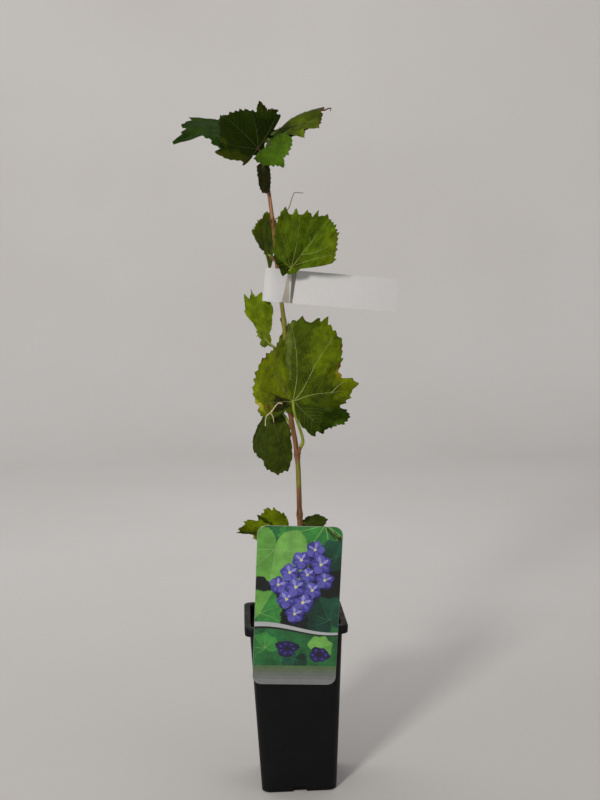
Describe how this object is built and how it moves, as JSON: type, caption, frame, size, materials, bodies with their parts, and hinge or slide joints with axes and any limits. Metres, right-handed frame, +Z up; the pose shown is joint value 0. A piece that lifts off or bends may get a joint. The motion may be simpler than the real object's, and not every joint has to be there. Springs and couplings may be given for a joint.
{
  "type": "potted grapevine",
  "caption": "Young grapevine with lobed, toothed leaves on a thin stem in a tall square pot, with a plant card hooked on the rim and a paper tag round the stem.",
  "frame": {"origin": "middle of the pot's flat underside, where it stands on the ground", "axes": "+Z up; the front of the pot, with the card, faces -Y; +X is the viewer's right"},
  "size_m": [0.2084, 0.1488, 0.6425],
  "materials": {
    "pot_plastic": "satin black",
    "potting_soil": "rough dark brown",
    "bark": "smooth young bark, brown at the joints",
    "leaf": "satin green",
    "card_plastic": "printed, satin",
    "tag_paper": "matt white"
  },
  "bodies": {
    "root": {"pot": "pot_plastic", "soil": "potting_soil", "stem": "bark", "plant_card": "card_plastic", "stem_tag": "tag_paper", "crown_leaves": "leaf", "upper_front_leaves": "leaf", "upper_left_leaves": "leaf", "upper_back_leaves": "leaf", "middle_left_leaves": "leaf", "middle_front_leaves": "leaf", "middle_back_leaves": "leaf", "middle_right_leaves": "leaf", "lower_left_leaves": "leaf", "base_left_leaves": "leaf", "base_right_leaves": "leaf"}
  },
  "joints": []
}
